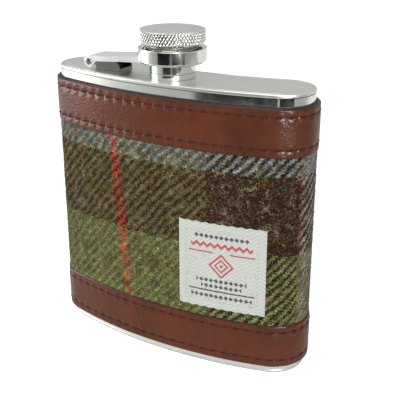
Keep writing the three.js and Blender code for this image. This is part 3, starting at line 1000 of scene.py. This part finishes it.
def stitch_places(sizes):
    """The place of each stitch of a row along the wrap, and how far apart they are."""
    count = round(2 * HALF_GIRTH / sizes.stitch_pitch)
    pitch = (2 * HALF_GIRTH - 2 * SEAM) / count
    return [-HALF_GIRTH + SEAM + pitch * (index + 0.5) for index in range(count)], pitch


def one_stitch(bm, s, z, out, span, width, slant):
    """A flattened run of thread whose two ends dip into their holes, laid on the flat wrap."""
    place = Matrix.Rotation(math.pi / 2, 4, "Y")
    made = bmesh.ops.create_uvsphere(bm, u_segments=8, v_segments=7, radius=1.0, matrix=place)["verts"]
    for vert in made:
        x, y, rise = vert.co
        bow, swell = math.copysign(abs(x) ** 0.75, x), 1.12 if abs(x) < 0.95 else 1.0
        vert.co = (bow * span / 2, y * swell * width / 2, rise * width * 0.42 - 0.55 * width * abs(x) ** 4)
    bmesh.ops.rotate(bm, cent=(0, 0, 0), matrix=Matrix.Rotation(slant, 3, "Z"), verts=made)
    bmesh.ops.translate(bm, vec=(s, z, out), verts=made)


class FLASK_OT_bands(bpy.types.Operator):
    """Makes the two leather bands, drawn in at every needle hole"""

    bl_idname = "flask.bands"
    bl_label = "Leather bands"

    def execute(self, context):
        middles = [(low.z + high.z) / 2 for low, high in STITCH_ROWS.values()]
        for name, (low, high) in BANDS.items():
            rows = [row for row in middles if low.z < row < high.z]
            self.band(context.scene.flask_sizes, name, low.z, high.z, rows)
        return {"FINISHED"}

    def band(self, sizes, name, low, high, rows):
        (first, *_), pitch = stitch_places(sizes)

        def from_row(z):
            return min(abs(z - row) for row in rows)

        def hole_share(s, z):
            """1 in a needle hole and 0 away from it."""
            gone = (s - first) / pitch + 0.5
            return bell((gone - round(gone)) * pitch, 0.5 * MM) * bell(from_row(z), 0.38 * MM)

        def back(s, z):
            lapped = z < low + LAP if name.endswith("upper") else z > high - LAP
            return TWEED_OUT[1] + 0.08 * MM if lapped else LEATHER_OUT[0]

        def face(s, z):
            inside = min(max(0.0, min(z - low, high - z, REACH - abs(s)) / EDGE_ROUND), 1)
            drop = EDGE_ROUND * (1 - math.sqrt(1 - (1 - inside) ** 2))
            plump = PLUMP * math.sin(math.pi * (z - low) / (high - low))
            crease = CREASE * sway(s * 0.5, z, 0.7, 160)
            beside = bell(from_row(z) - 1.1 * MM, 0.5 * MM)
            mound = MOUND * beside * math.cos(2 * math.pi * (s - first) / pitch)
            sewn = GROOVE * bell(from_row(z), 0.8 * MM) + sizes.pucker * hole_share(s, z)
            return LEATHER_OUT[1] + plump + crease + mound - drop * 0.8 - sewn

        bm = flat_sheet(-REACH, REACH, low, high, 900, 44, layers=("rim", "hole"))
        rim, hole = (bm.verts.layers.float[layer] for layer in ("rim", "hole"))
        fronts = thickened(bm, back, face)
        for vert in bm.verts:
            s, z = vert.co.xy
            painted = max(0.0, 1 - min(z - low, high - z) / (0.5 * MM))
            vert[rim] = min(1.0, 1.3 * painted) if vert in fronts else 1.0
            # How far into a needle hole each vertex lies, which darkens it there as painted shade
            vert[hole] = hole_share(s, z) if vert in fronts else 0.0
        wrapped(bm)
        piece = name.replace("leather_band", "band")
        add_piece(piece, bm, "Red-brown leather", "flask", name, 60)


class FLASK_OT_stitches(bpy.types.Operator):
    """Makes the four rows of stitches on the bands"""

    bl_idname = "flask.stitches"
    bl_label = "Stitches"

    def execute(self, context):
        sizes = context.scene.flask_sizes
        for number, (name, (low, high)) in enumerate(STITCH_ROWS.items()):
            bm = bmesh.new()
            chance = random.Random(number + 3)
            for s in stitch_places(sizes)[0]:
                slant = math.radians(7 + chance.uniform(-3, 3))
                out = LEATHER_OUT[1] - 0.02 * MM + chance.uniform(-0.02, 0.02) * MM
                one_stitch(bm, s, (low.z + high.z) / 2, out, sizes.stitch_length, sizes.stitch_width, slant)
            wrapped(bm)
            piece = name.replace("stitches", "stitch_row")
            add_piece(piece, bm, "Sewing thread", "flask", name, SOFT)
        return {"FINISHED"}


class FLASK_OT_label(bpy.types.Operator):
    """Makes the plainly patterned woven label and the thread that holds it"""

    bl_idname = "flask.label"
    bl_label = "Label"

    def execute(self, context):
        left, right = label_span()
        low, high = LABEL_LOW.z, LABEL_HIGH.z

        def back(s, z):
            return LABEL_OUT[0] + 0.10 * MM + 0.05 * MM * sway(s, z, 0.9, 330)

        def face(s, z):
            edge = min(s - left, right - s, z - low, high - z)
            hem = 0.12 * MM if edge < HEM else 0.0
            seam = 0.14 * MM * bell(edge - HEM, 0.35 * MM)
            drop = 0.16 * MM * max(0.0, 1 - edge / (0.4 * MM)) ** 2
            return LABEL_OUT[1] + 0.16 * MM + hem + 0.10 * MM * sway(s, z, 0.9, 330) - seam - drop

        bm = flat_sheet(left, right, low, high, 120, 122)
        thickened(bm, back, face)
        for vert in bm.verts:
            s, z = vert.co.xy
            vert.co.y += RIPPLE * math.sin(s / MM * 2.1) * math.exp(-min(z - low, high - z) / (1.2 * MM))
        wrapped(bm)
        cloth = add_piece("label", bm, "Woven label", "flask", "front_label", 60)
        sewn = self.thread(left + HEM, right - HEM, low + HEM, high - HEM)
        return {"FINISHED"}

    def thread(self, left, right, low, high):
        bm = bmesh.new()
        out = LABEL_OUT[1] + 0.12 * MM
        pitch, span, width, slant = 2.45 * MM, 1.7 * MM, 0.30 * MM, 0.03
        runs = ((left, right, (low, high), False), (low, high, (left, right), True))
        for start, end, sides, upright in runs:
            count = round((end - start) / pitch)
            for index in range(count):
                at = start + (index + 0.5) * (end - start) / count
                for side in sides:
                    if upright:
                        one_stitch(bm, side, at, out, span, width, slant + math.pi / 2)
                    else:
                        one_stitch(bm, at, side, out, span, width, slant)
        wrapped(bm)
        return add_piece("label_stitches", bm, "Label thread", "flask", "front_label", SOFT)


# ---- The captive arm and the cap, in millimetres ----

COLLAR_BORE, COLLAR_WALL, COLLAR_FLOOR, LIP = 7.6, 0.9, 0.8, 0.6
KNOB_BORE, WAIST, FLANGE, FLANGE_HEIGHT = 7.42, 8.4, 9.85, 0.8
DRUM_HEIGHT, DRUM_GAUGE, DRUM_INSET, WAIST_GAP = 4.5, 1.5, 0.62, 0.05
SOCKET_WALL, SOCKET_ROOF = 0.5, 0.6
KNURL_ROWS, KNURL_STEPS = 30, 12  # faces up the band, and faces across one diamond
KNURL_LEAD = 1.75 * MM  # how far a groove climbs while it goes on by one diamond


class FLASK_OT_arm(bpy.types.Operator):
    """Makes the arm's folded strap and its turned collar"""

    bl_idname = "flask.arm"
    bl_label = "Captive arm"

    def execute(self, context):
        # The strap takes the brightened steel, as a painted highlight
        folded("strap", "Highlight-painted steel", "arm", "arm_strap", 0.12 * MM, 2)
        radius = radius_of(COLLAR_LOW, COLLAR_HIGH)
        foot, top = COLLAR_LOW.z / MM, COLLAR_HIGH.z / MM
        well, floor = radius - COLLAR_WALL, foot + COLLAR_FLOOR
        bm = bmesh.new()
        turned(bm, [
            (COLLAR_BORE, foot), (radius - 0.8, foot), (radius - 0.55, foot + 0.13),
            (radius - 0.13, foot + 0.55), (radius, floor), (radius, top), (radius - 0.5, top),
            (well - LIP, top - 0.5), (well - LIP, top - 0.9), (well, top - 0.9), (well, floor),
            (COLLAR_BORE, floor),
        ])
        rounded(bm, context.scene.flask_sizes.edge, 30, 3)
        add_piece("collar", bm, "Polished steel", "arm", "arm_collar", TURNED)
        return {"FINISHED"}


class FLASK_OT_knob(bpy.types.Operator):
    """Makes the knurled knob with its waist and flange"""

    bl_idname = "flask.knob"
    bl_label = "Knob"

    def execute(self, context):
        radius = radius_of(KNOB_LOW, KNOB_HIGH)
        foot, top = KNOB_LOW.z / MM, KNOB_HIGH.z / MM
        drum, flange = top - DRUM_HEIGHT, foot + FLANGE_HEIGHT
        wall, below = radius - DRUM_INSET, drum - 1.0
        body = bmesh.new()
        turned(body, [
            (KNOB_BORE, below), (WAIST, below), (8.8, drum), (radius - 0.9, drum + 0.02),
            (wall, drum + 0.7), (wall, top - 0.4), (radius - 0.30, top - 0.12), (radius - 0.55, top),
            (0, top), (0, top - DRUM_GAUGE), (KNOB_BORE, top - DRUM_GAUGE),
        ])
        rounded(body, 0.08 * MM, 40, 2)
        # The waist and flange are a piece of their own so that they can take the darkened steel, as painted
        # shade
        waist = bmesh.new()
        turned(waist, [
            (KNOB_BORE, foot), (FLANGE, foot), (FLANGE, flange), (WAIST, flange),
            (WAIST, below + WAIST_GAP), (KNOB_BORE, below + WAIST_GAP),
        ])
        band = self.knurl(context.scene.flask_sizes, radius * MM, drum * MM, (top - 0.1) * MM)
        add_piece("knob_body", body, "Satin steel", "cap", "cap_knob", TURNED)
        add_piece("knob_waist", waist, "Shade-painted steel", "cap", "cap_knob", TURNED)
        add_piece("knob_knurl", band, "Knurled steel", "cap", "cap_knob", 30)
        return {"FINISHED"}

    def knurl(self, sizes, radius, low, high):
        """A band cut by two sets of slanting grooves, one deeper than the other."""
        bm = bmesh.new()
        depth = bm.verts.layers.float.new("depth")
        across = KNURL_STEPS * sizes.knurl_count
        bmesh.ops.create_grid(bm, x_segments=across, y_segments=KNURL_ROWS, size=0.5)

        def groove(turns):
            middle = abs(2 * (turns - math.floor(turns)) - 1)
            return max(0.0, (middle - 0.35) / 0.65)

        for vert in bm.verts:
            share = vert.co.x + 0.5
            height = low + (vert.co.y + 0.5) * (high - low)
            on, climb = sizes.knurl_count * share, (height - low) / KNURL_LEAD
            cut = max(groove(on - climb), 0.72 * groove(on + climb))
            below = max(0.0, 1 - (height - low) / (0.95 * MM))
            above = max(0.0, 1 - (high - height) / (0.22 * MM))
            fade = 1 - 0.6 * max(below, above)
            drawn = 1.0 * MM * below**2.2 + 0.26 * MM * above**1.6
            reach = radius - drawn - sizes.knurl_depth * cut * fade
            turn = 2 * math.pi * share
            # The groove's depth, which also darkens the knurl there as painted shade
            vert[depth] = min(1.0, cut**1.5) * fade
            vert.co = (reach * math.cos(turn), NECK_Y + reach * math.sin(turn), height)
        bmesh.ops.remove_doubles(bm, verts=bm.verts, dist=SAME)
        bmesh.ops.recalc_face_normals(bm, faces=bm.faces)
        outer = max(bm.faces, key=lambda face: abs(face.calc_center_median().x))
        centre = outer.calc_center_median()
        if outer.normal.dot(Vector((centre.x, centre.y - NECK_Y, 0))) < 0:
            bmesh.ops.reverse_faces(bm, faces=bm.faces)
        return bm


class FLASK_OT_socket(bpy.types.Operator):
    """Makes the cap's threaded socket and the washer inside it"""

    bl_idname = "flask.socket"
    bl_label = "Socket and washer"

    def execute(self, context):
        radius = radius_of(SOCKET_LOW, SOCKET_HIGH)
        foot, top = SOCKET_LOW.z / MM, SOCKET_HIGH.z / MM
        bore, roof = radius - SOCKET_WALL, top - SOCKET_ROOF
        bm = bmesh.new()
        turned(bm, [(bore, foot), (radius, foot), (radius, top), (0, top), (0, roof), (bore, roof)])
        rounded(bm, 0.8 * context.scene.flask_sizes.edge, 30, 2)
        screw_thread(bm, radius - THREAD_CREST, 98.6, 1)
        add_piece("socket", bm, "Polished steel", "cap", "cap_socket", TURNED)
        washer = bmesh.new()
        low, high = GASKET_LOW.z / MM, GASKET_HIGH.z / MM
        wide, hollow = radius_of(GASKET_LOW, GASKET_HIGH), low + 0.1
        turned(washer, [(0, hollow), (3.4, hollow), (3.7, low), (wide, low), (wide, high), (0, high)])
        rounded(washer, 0.16 * MM, 30, 3)
        add_piece("washer_disc", washer, "Silicone", "washer", "cap_gasket", 50)
        return {"FINISHED"}


# ---- The studio ----

MIDDLE = Vector((0, 0, 50 * MM))
CARDS = {"card_left": (-48, -7), "card_right": (-1, 42)}  # degrees to the right of the camera
CARD_NEAR, CARD_FAR = 0.34, 2.0
CARD_STEPS = 12
ASIDE, RAISED = 7.45 * MM, 0.84 * MM  # how far the camera is moved from the flask's middle


class FLASK_OT_studio(bpy.types.Operator):
    """Makes the floor, the soft light and the camera"""

    bl_idname = "flask.studio"
    bl_label = "Studio"

    def execute(self, context):
        studio = context.scene.flask_studio
        azimuth = studio.azimuth
        to_camera = Vector((math.sin(azimuth), -math.cos(azimuth), 0))
        to_right = Vector((math.cos(azimuth), math.sin(azimuth), 0))
        self.sky(context, studio)
        self.floor(studio, to_camera)
        # Name, then how far to the camera's side, to its right and up, then width and power
        for name, near, right, up, width, watts in (
            ("left_box", -0.06, -0.50, 0.24, 0.36, studio.left),
            ("top_box", 0.25, -0.10, 0.60, 0.40, studio.top),
            ("right_box", 0.52, 0.10, 0.19, 0.14, studio.right),
            ("glint_right", 0.50, 0.22, 0.125, 0.10, studio.glint),
            ("glint_left", -0.09, -0.50, 0.08, 0.20, 0.5 * studio.glint),
        ):
            light = bpy.data.lights.new(name, "AREA")
            light.shape, light.size, light.size_y, light.energy = "RECTANGLE", width, width * 1.3, watts
            lamp = in_scene(name, light)
            place = to_camera * near + to_right * right + Vector((0, 0, up))
            aimed(lamp, place, MIDDLE - place)
            lamp.visible_diffuse = not name.startswith("glint")
        self.dark_cards(to_camera, to_right)
        self.camera(context, studio, to_camera, to_right)
        context.scene.view_settings.view_transform = "Standard"
        return {"FINISHED"}

    def floor(self, studio, to_camera):
        """A pale floor, which steel sees as dark near the flask and pale farther off."""
        bm = bmesh.new()
        bmesh.ops.create_circle(bm, cap_ends=True, radius=6, segments=64)
        floor = in_scene("floor", mesh_of("floor", bm))
        made, shader = material("Pale floor", {"Roughness": 0.9, "Specular IOR Level": 0.1})
        place = object_place(made.node_tree)
        path = node(made.node_tree, "ShaderNodeLightPath")
        sockets = {0: place, 1: to_camera}
        ahead = node(made.node_tree, "ShaderNodeVectorMath", sockets, operation="DOT_PRODUCT")["Value"]
        stops = [(0.05, 0.0), (0.30, 0.58), (0.80, 0.78), (1.0, 0.97)]
        in_steel = path["Is Glossy Ray"] * ramp(spread(ahead, -0.1, 0.5, 0.0, 1.0), stops)
        shade = mixed(grain(place, 3.0), studio.floor, dimmed(studio.floor, 0.99))
        linked(
            shader,
            Base_Color=mixed(in_steel, shade, dimmed(studio.floor, 0.10)),
            Emission_Color=mixed(in_steel, (1, 1, 1), (0.1, 0.1, 0.1)),
            Emission_Strength=spread(path["Is Camera Ray"], 0.0, 1.0, 0.32, 0.75),
        )
        floor.data.materials.append(made)

    def sky(self, context, studio):
        world = context.scene.world or bpy.data.worlds.new("Room")
        context.scene.world = world
        world.use_nodes = True
        tree = world.node_tree
        _, _, height = parts(node(tree, "ShaderNodeTexCoord")["Generated"])
        shade = ramp(height, [(0.0, 0.45), (0.2, 0.68), (0.5, 1.0), (1.0, 1.0)])
        path = node(tree, "ShaderNodeLightPath")
        seen = path["Is Camera Ray"]
        linked(
            tree.nodes["Background"],
            Color=mixed(seen, shade, (1, 1, 1)),
            Strength=spread(seen, 0.0, 1.0, studio.sky, 1.0) + path["Is Glossy Ray"] * 0.36,
        )

    def dark_cards(self, to_camera, to_right):
        """Dark cards on the camera's side, which only the steel sees."""
        constants = {"Base Color": (0.012, 0.010, 0.010, 1), "Roughness": 1.0, "Specular IOR Level": 0.0}
        dark, _ = material("Dark card", constants)
        for name, (left, right) in CARDS.items():
            bm = bmesh.new()
            bmesh.ops.create_grid(bm, x_segments=CARD_STEPS, y_segments=1, size=0.5)
            for vert in bm.verts:
                away = CARD_NEAR + (vert.co.y + 0.5) * (CARD_FAR - CARD_NEAR)
                turn = math.radians(left + (vert.co.x + 0.5) * (right - left))
                place = to_camera * math.cos(turn) + to_right * math.sin(turn)
                vert.co = place * away + Vector((0, 0, 1.0 * MM))
            card = in_scene(name, mesh_of(name, bm))
            card.data.materials.append(dark)
            card.visible_camera = card.visible_diffuse = card.visible_shadow = False

    def camera(self, context, studio, to_camera, to_right):
        back = to_camera * math.cos(studio.elevation) + Vector((0, 0, math.sin(studio.elevation)))
        up = back.cross(to_right)
        data = bpy.data.cameras.new("camera")
        data.sensor_width, data.lens, data.clip_start, data.clip_end = 36, studio.lens, 0.01, 50
        camera = in_scene("camera", data)
        aimed(camera, MIDDLE + back * studio.distance + to_right * ASIDE + up * RAISED, -back)
        context.scene.camera = camera


def aimed(made, place, direction):
    made.location = place
    made.rotation_mode = "QUATERNION"
    made.rotation_quaternion = direction.to_track_quat("-Z", "Y")


# ---- The panel and the run ----

OPERATORS = (
    FLASK_OT_studio,
    FLASK_OT_vessel_wall,
    FLASK_OT_plates,
    FLASK_OT_neck,
    FLASK_OT_hinge,
    FLASK_OT_backing,
    FLASK_OT_tweed,
    FLASK_OT_bands,
    FLASK_OT_stitches,
    FLASK_OT_label,
    FLASK_OT_arm,
    FLASK_OT_knob,
    FLASK_OT_socket,
)
GROUPS = {"flask_sizes": FlaskSizes, "flask_colours": FlaskColours, "flask_studio": FlaskStudio}


class FLASK_PT_panel(bpy.types.Panel):
    """Sizes, colours and pieces of the flask"""

    bl_label = "Hip flask"
    bl_idname = "FLASK_PT_panel"
    bl_space_type = "VIEW_3D"
    bl_region_type = "UI"
    bl_category = "Flask"

    def draw(self, context):
        for name, kind in GROUPS.items():
            column = self.layout.column(align=True)
            for label in kind.__annotations__:
                column.prop(getattr(context.scene, name), label)
        for operator in OPERATORS:
            self.layout.operator(operator.bl_idname)


CLASSES = (*GROUPS.values(), *OPERATORS, FLASK_PT_panel)


def register():
    for kind in CLASSES:
        bpy.utils.register_class(kind)
    for name, kind in GROUPS.items():
        setattr(bpy.types.Scene, name, PointerProperty(type=kind))


def unregister():
    for name in GROUPS:
        delattr(bpy.types.Scene, name)
    for kind in reversed(CLASSES):
        bpy.utils.unregister_class(kind)


def main():
    register()
    for operator in OPERATORS:
        family, name = operator.bl_idname.split(".")
        getattr(getattr(bpy.ops, family), name)()


if __name__ == "__main__":
    main()
